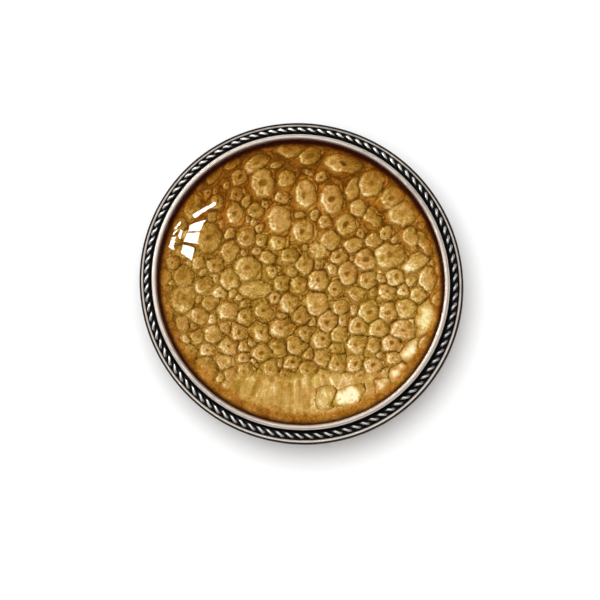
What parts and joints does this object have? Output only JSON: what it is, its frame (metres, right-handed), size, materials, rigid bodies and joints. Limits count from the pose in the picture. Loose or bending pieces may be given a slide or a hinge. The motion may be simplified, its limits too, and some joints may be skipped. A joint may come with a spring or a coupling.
{
  "type": "cabochon brooch",
  "caption": "Round brooch: a clear domed stone over a gold pebbled enamel disc, in a silver bezel ringed by a twisted wire, with a pin across the back.",
  "frame": {"origin": "on the surface that the brooch lies on, under the middle of its box", "axes": "+Z out of the stone's dome, +X along the pin towards its point, +Y up as worn"},
  "size_m": [0.0446, 0.0446, 0.0125],
  "materials": {
    "silver": "worn silver plate, dark with oxide in the channel",
    "wire": "silver wire, bright on top and black with oxide between the strands",
    "enamel": "pearl gold enamel that has drawn up into round cells with amber between them",
    "stone": "clear polished glass",
    "pin": "plated steel, slightly worn"
  },
  "bodies": {
    "root": {"setting": "silver", "twisted_wire": "wire", "enamel_disc": "enamel", "stone": "stone", "pin_back": "pin"}
  },
  "joints": []
}
